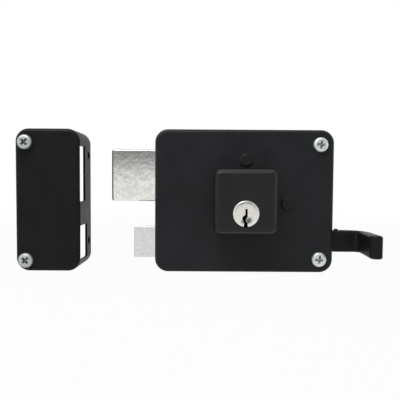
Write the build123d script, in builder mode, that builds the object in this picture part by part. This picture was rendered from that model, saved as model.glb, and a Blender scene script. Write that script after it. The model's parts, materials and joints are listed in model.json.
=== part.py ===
from build123d import *
import os
from math import degrees, pi

# A rim box lock with its strike box, as it stands on the inner face of a door.
# The origin is on the axis of the key plug, in the plane of the door face.
# X runs from the strike box towards the pull handle, Y runs into the door and Z is up.
# A height is a distance in front of the door face: what is at height h lies at Y = -h.

os.makedirs("parts", exist_ok=True)

# Pressed case
case_length = 95.0
case_height = 76.0
case_depth = 25.0
sheet = 1.2
corner_radius = 7.0
front_edge_radius = 2.0
plug_from_left_share = 0.48737
plug_from_bottom_share = 0.43421

# Clearances, each on one side
seat_gap = 0.02
slip = 0.1
running = 0.05
window_gap = 0.35
plate_gap = 0.4
overrun = 1.0

# Deadbolt and its rack
key_turns = 1
deadbolt_throw = 23.4
deadbolt_head_length = 28.4
deadbolt_size = 28.0
deadbolt_thickness = 8.0
deadbolt_above_plug = 4.6
deadbolt_chamfer = 0.9
bolt_front_gap = 2.3
rack_plate_thickness = 3.5
rack_lap = 5.0
rack_end_wall = 3.5
rack_top_wall = 2.0
rack_strip_wall = 1.5
rack_edge_drop = 0.82
rack_strip_height = 2.4
deadbolt_rivet_radius = 2.0

# Hub pinion
pinion_teeth = 8
tooth_tip_radius = 0.65
tooth_stem = 1.0
rack_play = 0.35
pinion_core_gap = 0.4
hub_collar_radius = 5.0
hub_collar_length = 2.2
hub_shoulder_radius = 6.2
hub_shoulder_length = 0.5
hub_journal_length = 2.9
hub_slot_length = 7.0
hub_slot_width = 1.5
hub_slot_depth = 1.9

# Latch bolt and its slide plate
latch_throw = 11.4
latch_head_length = 19.4
latch_size_share = 0.21776
latch_thickness = 11.0
latch_below_plug_share = 0.22862
latch_nose = 2.5
latch_bevel_length = 10.5
latch_tip_radius = 0.6
latch_rivet_radius = 1.5
latch_rivet_pitch = 3.4
slide_thickness = 2.5
slide_height = 6.0
slide_inset = 1.25
slide_below_plug_share = 0.21711
slide_lap = 5.0
slide_arm_start = 7.5
slide_arm_wall = 1.6
slide_bend_radius = 1.5
lug_width = 1.6
lug_height = 4.0
lug_gap = 0.3

# Latch spring on its guide pin
spring_radius = 3.0
spring_bore = 2.3
spring_from_slide = 0.95
spring_start = 6.0
guide_pin_radius = 2.0
guide_pin_tip_gap = 0.8
guide_pin_head_radius = 3.0
guide_pin_head = 0.8
bracket_sheet = 1.5
bracket_foot = 12.0
bracket_size_share = 0.17105
bracket_below_plug_share = 0.23684
bracket_spring_margin = 0.5

# Cast block that shows on the case, and the pin cylinder in it
block_width = 30.5
block_size = 31.3
block_height = 23.0
block_above_plug = 5.85
block_corner_radius = 3.2
block_edge_radius = 2.9
block_front_wall = 2.0
plug_radius = 6.5
plug_proud = 0.3
plug_edge = 0.4
plug_tail = 2.0
body_wall = 1.0
body_tower_width = 10.0
body_tower_top = 19.2
body_behind_front = 1.8
flange_width = 27.5
flange_size = 29.0
flange_above_plug = 5.5
flange_thickness = 1.5
flange_corner_radius = 3.0

# Key way, seen from the front. The sides are shares of its width and of the plug radius.
keyway_width = 1.2
keyway_end_wall = 5.0
keyway_right_shares = (
    (0.5, 0.37),
    (0.55, -0.2),
    (-0.1, -0.4),
    (-0.12, -0.54),
    (0.58, -0.7),
    (0.5, -0.8),
    (0.88, -1.15),
)
keyway_left_shares = (
    (-0.45, 0.37),
    (-0.33, -0.05),
    (-1.6, -0.25),
    (-1.55, -0.42),
    (-0.95, -0.57),
    (-0.8, -0.72),
    (-1.25, -1.15),
)
key_dish_radius = 8.0
key_dish_depth = 0.35
key_dish_below = 2.6

# Pins of the cylinder
pin_count = 5
pin_pitch = 4.0
first_pin_depth = 5.0
pin_radius = 1.45
pin_top_below_shear = 0.2
driver_above_shear = 0.12
driver_length = 4.5
key_pin_lengths = (4.6, 6.0, 5.2, 6.6, 4.9)
pin_chamber_floor = 1.0
pin_tip = 0.5
pin_spring_radius = 1.3
pin_spring_bore = 0.8
chamber_cover_width = 3.4
chamber_cover_thickness = 0.8
chamber_cover_end = 0.7

# Clip and tailpiece behind the plug
clip_thickness = 0.7
clip_groove_depth = 0.95
clip_outer_radius = 7.6
clip_mouth = 8.0
clip_behind_body = 0.3
tailpiece_width = 6.0
tailpiece_thickness = 1.2
tailpiece_in_plug = 1.5

# Studs that show as round bosses on the case front
boss_radius = 3.5
boss_height = 1.0
boss_rounding = 0.9
bolt_stud_x = 1.9
bolt_stud_z = 26.7
bolt_stud_radius = 2.5
bolt_stud_collar = 4.0
latch_stud_x = 24.0
latch_stud_z = 3.8
latch_stud_radius = 2.25
latch_stud_collar = 3.5
stud_neck_radius = 2.0
stud_play = 0.2
stud_end_play = 0.3
rivet_neck_radius = 1.75
rivet_head_radius = 2.6
rivet_head_height = 0.7

# Bridge that carries the inner end of the hub
bridge_sheet = 1.2
bridge_behind_rack = 1.0
bridge_eye_radius = 5.0
bridge_hub_radius = 10.0
post_x = -10.0
post_z = -6.0
post_across_flats = 6.0
post_spigot_length = 7.0
bush_wall = 1.5
bush_flange = 1.1
bush_flange_thickness = 0.6

# Screws and their posts
screw_radius = 2.0
screw_hole_radius = 2.2
screw_length = 11.0
screw_head_radius = 4.0
screw_head_height = 2.4
screw_head_rounding = 1.5
recess_length = 4.4
recess_width = 1.15
recess_depth = 1.4
case_cross_turn_share = 0.05
strike_cross_turn_share = 0.125
screw_from_right = 7.7
screw_from_top = 8.0
screw_from_bottom_share = 0.09605
housing_screw_length = 9.0
housing_screw_x = 10.5
housing_screw_z = 16.5
housing_head_radius = 3.4
housing_head_height = 1.5
housing_head_rounding = 0.6
housing_recess_depth = 0.8
housing_recess_length = 3.6
screw_post_radius = 3.4
screw_post_foot = 2.4
screw_post_bore_depth = 12.0

# Back plate behind the case
back_plate_thickness = 1.5
back_plate_gap = 0.15
cylinder_hole_radius = 11.0
door_hole_radius = 2.4
door_hole_from_side = 14.5
door_hole_from_end = 10.0
hook_width = 8.0
hook_inside = 3.0
hook_outside = 1.0
hook_thickness = 1.2
hook_heights_share = (0.26, 0.74)

# Pull handle
strap_height_share = 0.15329
strap_thickness = 5.5
strap_gap = 0.3
strap_length = 14.0
hook_tip_height = 45.4
hook_inner_lean = 1.6
hook_tip_width = 6.2
hook_outer_spread = 0.4
hook_inner_radius = 2.2
hook_back_radius = 13.0
hook_nose_radius = 3.0
hook_tip_radius = 1.6
handle_edge_radius = 1.3
shank_inset = 1.5
shank_thickness = 4.7
tongue_length = 7.3
handle_pin_radius = 1.0
handle_pin_out = 3.0
handle_pin_proud = 0.7

# Strike box and its base plate
strike_width = 34.3
strike_from_case = 39.8
strike_inner_play = 0.4
strike_outer_play = 1.45
strike_rear_play = 0.4
strike_latch_rear_play = 1.2
strike_front_play = 0.3
strike_hole_radius = 2.1
strike_hole_height_share = 0.5376
strike_hole_z = 5.5
strike_hole_pitch = 48.7
strike_screw_from_left = 5.7
strike_screw_from_top = 7.4
strike_screw_from_bottom = 6.0
strike_base_width = 24.4
frame_hole_pitch = 48.0
frame_hole_from_left = 17.0

# Edges of the case
case_left = -plug_from_left_share * case_length
case_right = case_left + case_length
case_bottom = -plug_from_bottom_share * case_height
case_top = case_bottom + case_height
front_inside = case_depth - sheet

# Sizes and places that follow the height of the case
case_middle_x = case_left + case_length / 2
case_middle_z = case_bottom + case_height / 2
latch_size = latch_size_share * case_height
latch_below_plug = latch_below_plug_share * case_height
slide_below_plug = slide_below_plug_share * case_height
bracket_size = bracket_size_share * case_height
bracket_below_plug = bracket_below_plug_share * case_height
strap_height = strap_height_share * case_height
shank_height = strap_height - 2 * shank_inset
screw_from_bottom = screw_from_bottom_share * case_height

# Heights of the moving layers
bolt_front = front_inside - bolt_front_gap
deadbolt_back = bolt_front - deadbolt_thickness
rack_front = deadbolt_back + rack_plate_thickness
latch_back = bolt_front - latch_thickness
slide_front = bolt_front - slide_inset
slide_back = slide_front - slide_thickness
slide_middle = (slide_front + slide_back) / 2
bridge_front = deadbolt_back - bridge_behind_rack
bridge_back = bridge_front - bridge_sheet

# Places along the bolts
deadbolt_tip = case_left - deadbolt_throw
deadbolt_rear = deadbolt_tip + deadbolt_head_length
deadbolt_bottom = deadbolt_above_plug
deadbolt_top = deadbolt_bottom + deadbolt_size
latch_tip = case_left - latch_throw
latch_rear = latch_tip + latch_head_length
latch_bottom = -latch_below_plug - latch_size / 2
latch_top = latch_bottom + latch_size
slide_bottom = -slide_below_plug - slide_height / 2
slide_top = slide_bottom + slide_height

# The pinion moves the rack by the whole throw in the given number of turns
pitch_radius = deadbolt_throw / (2 * pi * key_turns)
rack_pitch = deadbolt_throw / (key_turns * pinion_teeth)
rack_slot_radius = tooth_tip_radius + rack_play
rack_bottom = pitch_radius - rack_edge_drop
pinion_core_radius = rack_bottom - pinion_core_gap

# Slots that run along the studs
bolt_slot_radius = bolt_stud_radius + stud_play
bolt_slot_right = bolt_stud_x + bolt_slot_radius + stud_end_play
bolt_slot_left = bolt_stud_x - deadbolt_throw - bolt_slot_radius - stud_end_play
latch_slot_radius = latch_stud_radius + stud_play
latch_slot_right = latch_stud_x + latch_slot_radius + stud_end_play
latch_slot_left = latch_stud_x - latch_throw - latch_slot_radius - stud_end_play
rack_right = bolt_slot_right + rack_end_wall
rack_top = bolt_stud_z + bolt_slot_radius + rack_top_wall
lug_left = rack_right + deadbolt_throw + lug_gap
lug_right = lug_left + lug_width
lug_top = latch_stud_z + latch_slot_radius + slide_arm_wall

# Heights along the cylinder
block_front = case_depth + block_height
body_front = block_front - block_front_wall - seat_gap
body_back = front_inside - body_behind_front
plug_front = block_front + plug_proud
plug_back = body_back - plug_tail
plug_bore = plug_radius + running
body_radius = plug_bore + body_wall
flange_back = front_inside - flange_thickness
clip_front = body_back - clip_behind_body
hub_front = rack_front + plate_gap + hub_collar_length
hub_core_front = hub_front - hub_collar_length
hub_core_back = deadbolt_back - plate_gap
hub_journal_front = hub_core_back - hub_shoulder_length
hub_back = hub_journal_front - hub_journal_length
tailpiece_front = plug_back + tailpiece_in_plug
tailpiece_back = hub_front - hub_slot_depth + slip
pin_bore = pin_radius + running
pin_heights = [plug_front - first_pin_depth - pin_pitch * n for n in range(pin_count)]
keyway_back = body_back + keyway_end_wall
driver_bottom = plug_radius + driver_above_shear
driver_top = driver_bottom + driver_length
chamber_top = body_tower_top - chamber_cover_thickness

# Places of fasteners
case_screws_at = [
    (case_right - screw_from_right, case_top - screw_from_top),
    (case_right - screw_from_right, case_bottom + screw_from_bottom),
]
housing_screws_at = [(-housing_screw_x, housing_screw_z), (housing_screw_x, housing_screw_z)]
deadbolt_rivets_at = [
    (deadbolt_rear - rack_lap / 2, deadbolt_bottom + deadbolt_size * share)
    for share in (1 / 4, 3 / 4)
]
latch_rivets_at = [
    (latch_rear - slide_lap / 2, -slide_below_plug + side * latch_rivet_pitch / 2)
    for side in (-1, 1)
]

# Places of the pull handle
strap_start = case_right + strap_gap
strap_front = slide_middle + strap_thickness / 2
strap_back = strap_front - strap_thickness
strap_bottom = -slide_below_plug - strap_height / 2
shank_left = lug_right + slip
tongue_right = case_right + tongue_length
handle_pin_x = case_right + handle_pin_out
bend_x = strap_start + strap_length

# Places of the strike box
strike_hole_height = (latch_back - strike_latch_rear_play) * strike_hole_height_share
strike_right = case_left - strike_from_case
strike_left = strike_right - strike_width
strike_screws_at = [
    (strike_left + strike_screw_from_left, case_top - strike_screw_from_top),
    (strike_left + strike_screw_from_left, case_bottom + strike_screw_from_bottom),
]


def pressed_box(left, length):
    """Draws the pressed sheet box in the part being built, open towards the door."""
    with BuildSketch(Plane.XZ) as profile:
        with Locations((left + length / 2, case_middle_z)):
            RectangleRounded(length, case_height, corner_radius)
    extrude(profile.sketch, amount=case_depth)
    fillet(faces().sort_by(Axis.Y)[0].edges(), front_edge_radius)
    offset(amount=-sheet, openings=faces().sort_by(Axis.Y)[-1])


def side_window(wall_x, low, high, bottom, top):
    """Cuts a window in an upright wall, from one height to another."""
    with BuildSketch(Plane.YZ.offset(wall_x)) as profile:
        with Locations((-(low + high) / 2, (bottom + top) / 2)):
            Rectangle(high - low, top - bottom)
    extrude(profile.sketch, amount=sheet, both=True, mode=Mode.SUBTRACT)


def add_disc(place, radius, low, high):
    """Adds a round piece along Y to the part being built, from one height to another."""
    with BuildSketch(Plane.XZ.offset(low)) as profile:
        with Locations(place):
            Circle(radius)
    extrude(profile.sketch, amount=high - low)


def drill(places, radius, low, high):
    """Drills round holes along Y, from one height to another."""
    with BuildSketch(Plane.XZ.offset(low)) as profile:
        with Locations(*places):
            Circle(radius)
    extrude(profile.sketch, amount=high - low, mode=Mode.SUBTRACT)


def add_slab(left, right, bottom, top, low, high, mode=Mode.ADD):
    """Adds or cuts a straight slab between two heights."""
    with BuildSketch(Plane.XZ.offset(low)) as profile:
        with Locations(((left + right) / 2, (bottom + top) / 2)):
            Rectangle(right - left, top - bottom)
    extrude(profile.sketch, amount=high - low, mode=mode)


def cut_slot(left, right, z, radius, low, high):
    """Cuts a slot with round ends along X."""
    with BuildSketch(Plane.XZ.offset(low)) as profile:
        with Locations(((left + right) / 2, z)):
            SlotOverall(right - left, 2 * radius)
    extrude(profile.sketch, amount=high - low, mode=Mode.SUBTRACT)


def cylinder_outline(grow):
    """Draws the outline of the pin cylinder: a ring round the plug and a tower for the pins."""
    Circle(body_radius + grow)
    with Locations((0, (body_tower_top + grow) / 2)):
        Rectangle(body_tower_width + 2 * grow, body_tower_top + grow)


def add_screws(places, seat, side, head, rounding, length, recess, cross_turn):
    """Adds cross recessed pan head screws. side is 1 where the heads face the room."""
    head_radius, head_height = head
    recess_long, recess_deep = recess
    end = 0 if side > 0 else -1
    with BuildSketch(Plane.XZ.offset(seat)) as profile:
        with Locations(*places):
            Circle(head_radius)
    extrude(profile.sketch, amount=side * head_height)
    fillet(faces().group_by(Axis.Y)[end].edges(), rounding)
    with BuildSketch(Plane.XZ.offset(seat + side * (head_height - recess_deep))) as profile:
        with Locations(*[Location((x, z), cross_turn) for x, z in places]):
            Rectangle(recess_long, recess_width)
            Rectangle(recess_width, recess_long)
    extrude(profile.sketch, amount=side * (recess_deep + overrun), mode=Mode.SUBTRACT)
    with BuildSketch(Plane.XZ.offset(seat)) as profile:
        with Locations(*places):
            Circle(screw_radius)
    extrude(profile.sketch, amount=-side * length)


def write(piece, name):
    """Labels a finished piece and writes it under its own name."""
    piece.label = name
    export_step(piece, f"parts/{name}.step")


# Pressed steel case, with windows for both bolts and the handle shank
with BuildPart() as case_shell:
    pressed_box(case_left, case_length)
    side_window(
        case_left + sheet / 2,
        deadbolt_back - window_gap,
        bolt_front + window_gap,
        deadbolt_bottom - window_gap,
        deadbolt_top + window_gap,
    )
    side_window(
        case_left + sheet / 2,
        latch_back - window_gap,
        bolt_front + window_gap,
        latch_bottom - window_gap,
        latch_top + window_gap,
    )
    side_window(
        case_right - sheet / 2,
        slide_middle - shank_thickness / 2 - window_gap,
        slide_middle + shank_thickness / 2 + window_gap,
        -slide_below_plug - shank_height / 2 - window_gap,
        -slide_below_plug + shank_height / 2 + window_gap,
    )
    for share in hook_heights_share:
        hook_z = case_bottom + case_height * share
        side_window(
            case_left + sheet / 2,
            back_plate_thickness - back_plate_gap,
            back_plate_thickness + hook_thickness + back_plate_gap,
            hook_z - hook_width / 2 - back_plate_gap,
            hook_z + hook_width / 2 + back_plate_gap,
        )
    with BuildSketch(Plane.XZ.offset(front_inside - overrun)):
        cylinder_outline(slip)
    extrude(amount=sheet + 2 * overrun, mode=Mode.SUBTRACT)
    screws_through_front = case_screws_at + housing_screws_at + [(post_x, post_z)]
    drill(screws_through_front, screw_hole_radius, front_inside - overrun, case_depth + overrun)
    studs_through_front = [(bolt_stud_x, bolt_stud_z), (latch_stud_x, latch_stud_z)]
    drill(studs_through_front, stud_neck_radius + seat_gap, front_inside - overrun, case_depth + overrun)
write(case_shell.part, "case_shell")

# Back plate inside the rim of the case, hooked into its left wall
with BuildPart() as back_plate:
    inner_gap = sheet + back_plate_gap
    plate_length = case_length - 2 * inner_gap
    plate_height = case_height - 2 * inner_gap
    with BuildSketch(Plane.XZ):
        with Locations((case_middle_x, case_middle_z)):
            RectangleRounded(plate_length, plate_height, corner_radius - inner_gap)
    extrude(amount=back_plate_thickness)
    for share in hook_heights_share:
        hook_z = case_bottom + case_height * share
        add_slab(
            case_left + sheet - hook_outside,
            case_left + inner_gap + hook_inside,
            hook_z - hook_width / 2,
            hook_z + hook_width / 2,
            back_plate_thickness,
            back_plate_thickness + hook_thickness,
        )
    drill([(0, 0)], cylinder_hole_radius, -overrun, back_plate_thickness + overrun)
    drill(case_screws_at, screw_post_foot + seat_gap, -overrun, back_plate_thickness + overrun)
    with BuildSketch(Plane.XZ.offset(-overrun)):
        with Locations((case_middle_x, case_middle_z)):
            door_hole_pitch_x = case_length - 2 * door_hole_from_side
            door_hole_pitch_z = case_height - 2 * door_hole_from_end
            with GridLocations(door_hole_pitch_x, door_hole_pitch_z, 2, 2):
                Circle(door_hole_radius)
    extrude(amount=back_plate_thickness + 2 * overrun, mode=Mode.SUBTRACT)
write(back_plate.part, "back_plate")

# Threaded posts that stand on the back plate and take the case screws
with BuildPart() as case_screw_posts:
    for place in case_screws_at:
        add_disc(place, screw_post_foot, slip, back_plate_thickness)
        add_disc(place, screw_post_radius, back_plate_thickness, front_inside - slip)
    drill(case_screws_at, screw_radius + running, front_inside - screw_post_bore_depth, front_inside)
write(case_screw_posts.part, "case_screw_posts")

# Screws that hold the case on its posts
with BuildPart() as case_screws:
    add_screws(
        case_screws_at,
        case_depth,
        1,
        (screw_head_radius, screw_head_height),
        screw_head_rounding,
        screw_length,
        (recess_length, recess_depth),
        degrees(2 * pi * case_cross_turn_share),
    )
write(case_screws.part, "case_screws")

# Cast block that covers the pin cylinder
with BuildPart() as cylinder_housing:
    with BuildSketch(Plane.XZ.offset(case_depth)):
        with Locations((0, block_above_plug)):
            RectangleRounded(block_width, block_size, block_corner_radius)
    extrude(amount=block_height)
    fillet(faces().sort_by(Axis.Y)[0].edges(), block_edge_radius)
    with BuildSketch(Plane.XZ.offset(case_depth)):
        cylinder_outline(seat_gap)
    extrude(amount=body_front + seat_gap - case_depth, mode=Mode.SUBTRACT)
    drill([(0, 0)], plug_radius + slip, body_front, block_front + overrun)
    housing_bore_top = flange_back + housing_screw_length + slip
    drill(housing_screws_at, screw_radius + running, case_depth, housing_bore_top)
    drill([(post_x, post_z)], screw_radius + running, case_depth, flange_back + post_spigot_length + slip)
write(cylinder_housing.part, "cylinder_housing")

# Screws from inside the case into the block
with BuildPart() as housing_screws:
    add_screws(
        housing_screws_at,
        flange_back,
        -1,
        (housing_head_radius, housing_head_height),
        housing_head_rounding,
        housing_screw_length,
        (housing_recess_length, housing_recess_depth),
        0,
    )
write(housing_screws.part, "housing_screws")

# Pin cylinder: plug bore, five pin chambers, a groove for their cover and a clamping flange
with BuildPart() as cylinder_body:
    with BuildSketch(Plane.XZ.offset(body_back)):
        cylinder_outline(0)
    extrude(amount=body_front - body_back)
    with BuildSketch(Plane.XZ.offset(flange_back)):
        with Locations((0, flange_above_plug)):
            RectangleRounded(flange_width, flange_size, flange_corner_radius)
    extrude(amount=flange_thickness)
    drill([(0, 0)], plug_bore, body_back - overrun, body_front + overrun)
    flange_holes = housing_screws_at + [(post_x, post_z)]
    drill(flange_holes, screw_hole_radius, flange_back - overrun, front_inside + overrun)
    with BuildSketch(Plane.XY):
        with Locations(*[(0, -height) for height in pin_heights]):
            Circle(pin_bore)
    extrude(amount=body_tower_top + overrun, mode=Mode.SUBTRACT)
    add_slab(
        -chamber_cover_width / 2,
        chamber_cover_width / 2,
        chamber_top,
        body_tower_top + overrun,
        front_inside,
        body_front - chamber_cover_end,
        mode=Mode.SUBTRACT,
    )
write(cylinder_body.part, "cylinder_body")

# Strip that closes the pin chambers
with BuildPart() as pin_chamber_cover:
    add_slab(
        -chamber_cover_width / 2 + seat_gap,
        chamber_cover_width / 2 - seat_gap,
        chamber_top,
        body_tower_top,
        case_depth,
        body_front - chamber_cover_end - slip,
    )
write(pin_chamber_cover.part, "pin_chamber_cover")

# Driver pins, which stay in the body
with BuildPart() as driver_pins:
    with BuildSketch(Plane.XY.offset(driver_bottom)):
        with Locations(*[(0, -height) for height in pin_heights]):
            Circle(pin_radius)
    extrude(amount=driver_length)
write(driver_pins.part, "driver_pins")

# Pin springs, from the driver pins to the cover
with BuildPart() as pin_springs:
    with BuildSketch(Plane.XY.offset(driver_top)):
        with Locations(*[(0, -height) for height in pin_heights]):
            Circle(pin_spring_radius)
            Circle(pin_spring_bore, mode=Mode.SUBTRACT)
    extrude(amount=chamber_top - driver_top)
write(pin_springs.part, "pin_springs")

# Key plug: warded key way open at the bottom, pin chambers, clip groove and tailpiece slot
with BuildPart() as plug:
    add_disc((0, 0), plug_radius, plug_back, plug_front)
    chamfer(faces().sort_by(Axis.Y)[0].edges(), plug_edge)
    around = keyway_right_shares + keyway_left_shares[::-1]
    with BuildSketch(Plane.XZ.offset(keyway_back)):
        with BuildLine():
            Polyline([(keyway_width * x, plug_radius * z) for x, z in around], close=True)
        make_face()
    extrude(amount=plug_front - keyway_back + overrun, mode=Mode.SUBTRACT)
    with Locations((0, key_dish_depth - plug_front - key_dish_radius, -key_dish_below)):
        Sphere(key_dish_radius, mode=Mode.SUBTRACT)
    with BuildSketch(Plane.XY.offset(-pin_chamber_floor)):
        with Locations(*[(0, -height) for height in pin_heights]):
            Circle(pin_bore)
    extrude(amount=plug_radius + pin_chamber_floor + overrun, mode=Mode.SUBTRACT)
    with BuildSketch(Plane.XZ.offset(clip_front - clip_thickness - slip)):
        Circle(plug_radius + overrun)
        Circle(plug_radius - clip_groove_depth, mode=Mode.SUBTRACT)
    extrude(amount=clip_thickness + 2 * slip, mode=Mode.SUBTRACT)
    tail_half_width = tailpiece_width / 2 + slip
    tail_half_thickness = tailpiece_thickness / 2 + slip
    add_slab(
        -tail_half_width,
        tail_half_width,
        -tail_half_thickness,
        tail_half_thickness,
        plug_back - overrun,
        tailpiece_front + slip,
        mode=Mode.SUBTRACT,
    )
write(plug.part, "plug")

# Key pins, set level with the plug as a key sets them
with BuildPart() as key_pins:
    key_pin_top = plug_radius - pin_top_below_shear
    for height, length in zip(pin_heights, key_pin_lengths):
        with BuildSketch(Plane.XY.offset(key_pin_top - length)):
            with Locations((0, -height)):
                Circle(pin_radius)
        extrude(amount=length)
        chamfer(faces(Select.LAST).sort_by(Axis.Z)[0].edges(), pin_tip)
write(key_pins.part, "key_pins")

# Spring clip in the groove behind the body
with BuildPart() as plug_clip:
    with BuildSketch(Plane.XZ.offset(clip_front - clip_thickness)):
        Circle(clip_outer_radius)
        Circle(plug_radius - clip_groove_depth + slip, mode=Mode.SUBTRACT)
        with Locations((0, -clip_outer_radius)):
            Rectangle(clip_mouth, clip_outer_radius, mode=Mode.SUBTRACT)
    extrude(amount=clip_thickness)
write(plug_clip.part, "plug_clip")

# Flat tailpiece that carries the turn of the plug to the hub
with BuildPart() as tailpiece:
    add_slab(
        -tailpiece_width / 2,
        tailpiece_width / 2,
        -tailpiece_thickness / 2,
        tailpiece_thickness / 2,
        tailpiece_back,
        tailpiece_front,
    )
write(tailpiece.part, "tailpiece")

# Hub: drive collar, shrouded pinion, shoulder and the journal that runs in the bush
with BuildPart() as hub_pinion:
    add_disc((0, 0), hub_collar_radius, hub_core_front, hub_front)
    add_disc((0, 0), hub_shoulder_radius, hub_journal_front, hub_core_back)
    add_disc((0, 0), hub_collar_radius, hub_back, hub_journal_front)
    with BuildSketch(Plane.XZ.offset(hub_core_back)):
        Circle(pinion_core_radius)
        with PolarLocations(0, pinion_teeth):
            with Locations((pitch_radius / 2, 0)):
                Rectangle(pitch_radius, tooth_stem)
            with Locations((pitch_radius, 0)):
                Circle(tooth_tip_radius)
    extrude(amount=hub_core_front - hub_core_back)
    for low, high in (
        (hub_front - hub_slot_depth, hub_front + overrun),
        (hub_back - overrun, hub_back + hub_slot_depth),
    ):
        add_slab(
            -hub_slot_length / 2,
            hub_slot_length / 2,
            -hub_slot_width / 2,
            hub_slot_width / 2,
            low,
            high,
            mode=Mode.SUBTRACT,
        )
write(hub_pinion.part, "hub_pinion")

# Bush for the hub, pressed in the bridge from behind
with BuildPart() as hub_bush:
    bush_radius = hub_collar_radius + running + bush_wall
    add_disc((0, 0), bush_radius, bridge_back, bridge_front)
    add_disc((0, 0), bush_radius + bush_flange, bridge_back - bush_flange_thickness, bridge_back)
    drill([(0, 0)], hub_collar_radius + running, bridge_back - overrun, bridge_front + overrun)
write(hub_bush.part, "hub_bush")

# Bridge plate between the stud and the post
with BuildPart() as hub_bridge:
    with BuildSketch(Plane.XZ.offset(bridge_back)):
        Circle(bridge_hub_radius)
        with Locations((bolt_stud_x, bolt_stud_z), (post_x, post_z)):
            Circle(bridge_eye_radius)
        make_hull()
    extrude(amount=bridge_sheet)
    bridge_eyes = [(bolt_stud_x, bolt_stud_z), (post_x, post_z)]
    drill([(0, 0)], bush_radius + seat_gap, bridge_back - overrun, bridge_front + overrun)
    drill(bridge_eyes, rivet_neck_radius + seat_gap, bridge_back - overrun, bridge_front + overrun)
write(hub_bridge.part, "hub_bridge")

# Hexagonal post from the cylinder flange to the bridge
with BuildPart() as bridge_post:
    with BuildSketch(Plane.XZ.offset(bridge_front)):
        with Locations((post_x, post_z)):
            RegularPolygon(post_across_flats / 2, 6, major_radius=False)
    extrude(amount=flange_back - bridge_front)
    add_disc((post_x, post_z), screw_radius, flange_back, flange_back + post_spigot_length)
    add_disc((post_x, post_z), rivet_neck_radius, bridge_back, bridge_front)
    add_disc((post_x, post_z), rivet_head_radius, bridge_back - rivet_head_height, bridge_back)
write(bridge_post.part, "bridge_post")

# Long stud: upper boss on the case front, guide of the deadbolt and support of the bridge
with BuildPart() as bolt_guide_stud:
    stud_at = (bolt_stud_x, bolt_stud_z)
    add_disc(stud_at, boss_radius, case_depth, case_depth + boss_height)
    fillet(faces().sort_by(Axis.Y)[0].edges(), boss_rounding)
    add_disc(stud_at, stud_neck_radius, front_inside, case_depth)
    add_disc(stud_at, bolt_stud_collar, rack_front + plate_gap, front_inside)
    add_disc(stud_at, bolt_stud_radius, bridge_front, rack_front + plate_gap)
    add_disc(stud_at, rivet_neck_radius, bridge_back, bridge_front)
    add_disc(stud_at, rivet_head_radius, bridge_back - rivet_head_height, bridge_back)
write(bolt_guide_stud.part, "bolt_guide_stud")

# Short stud: right boss on the case front and guide of the latch slide
with BuildPart() as latch_guide_stud:
    stud_at = (latch_stud_x, latch_stud_z)
    add_disc(stud_at, boss_radius, case_depth, case_depth + boss_height)
    fillet(faces().sort_by(Axis.Y)[0].edges(), boss_rounding)
    add_disc(stud_at, stud_neck_radius, front_inside, case_depth)
    add_disc(stud_at, latch_stud_collar, slide_front + plate_gap, front_inside)
    add_disc(stud_at, latch_stud_radius, rack_front + plate_gap, slide_front + plate_gap)
write(latch_guide_stud.part, "latch_guide_stud")

# Deadbolt head, lapped at its rear for the rack plate
with BuildPart() as deadbolt:
    add_slab(deadbolt_tip, deadbolt_rear, deadbolt_bottom, deadbolt_top, deadbolt_back, bolt_front)
    tip_face = faces().sort_by(Axis.X)[0]
    front_face = faces().sort_by(Axis.Y)[0]
    bolt_edges = tip_face.edges() + front_face.edges().filter_by(Axis.X)
    chamfer(bolt_edges, deadbolt_chamfer)
    add_slab(
        deadbolt_rear - rack_lap,
        deadbolt_rear + overrun,
        deadbolt_bottom - overrun,
        deadbolt_top + overrun,
        deadbolt_back - overrun,
        rack_front,
        mode=Mode.SUBTRACT,
    )
    drill(deadbolt_rivets_at, deadbolt_rivet_radius + seat_gap, deadbolt_back, bolt_front + overrun)
write(deadbolt.part, "deadbolt")

# Rack plate behind the deadbolt head, with a guide slot and a rack along its lower edge
with BuildPart() as deadbolt_rack_plate:
    strip_top = rack_bottom + rack_strip_height
    slot_places = [(rack_pitch * (1 - n), pitch_radius) for n in range(key_turns * pinion_teeth + 3)]
    strip_left = slot_places[-1][0] - rack_slot_radius - rack_strip_wall
    add_slab(deadbolt_rear - rack_lap, rack_right, strip_top, rack_top, deadbolt_back, rack_front)
    add_slab(strip_left, rack_right, rack_bottom, strip_top, deadbolt_back, rack_front)
    cut_slot(
        bolt_slot_left,
        bolt_slot_right,
        bolt_stud_z,
        bolt_slot_radius,
        deadbolt_back - overrun,
        rack_front + overrun,
    )
    drill(slot_places, rack_slot_radius, deadbolt_back - overrun, rack_front + overrun)
    with BuildSketch(Plane.XZ.offset(deadbolt_back - overrun)):
        with Locations(*[(x, z - rack_slot_radius) for x, z in slot_places]):
            Rectangle(2 * rack_slot_radius, 2 * rack_slot_radius)
    extrude(amount=rack_plate_thickness + 2 * overrun, mode=Mode.SUBTRACT)
    drill(deadbolt_rivets_at, deadbolt_rivet_radius + seat_gap, deadbolt_back - overrun, rack_front + overrun)
write(deadbolt_rack_plate.part, "deadbolt_rack_plate")

# Rivets through the lap of the deadbolt
with BuildPart() as deadbolt_rivets:
    for place in deadbolt_rivets_at:
        add_disc(place, deadbolt_rivet_radius, deadbolt_back, bolt_front)
write(deadbolt_rivets.part, "deadbolt_rivets")

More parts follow.
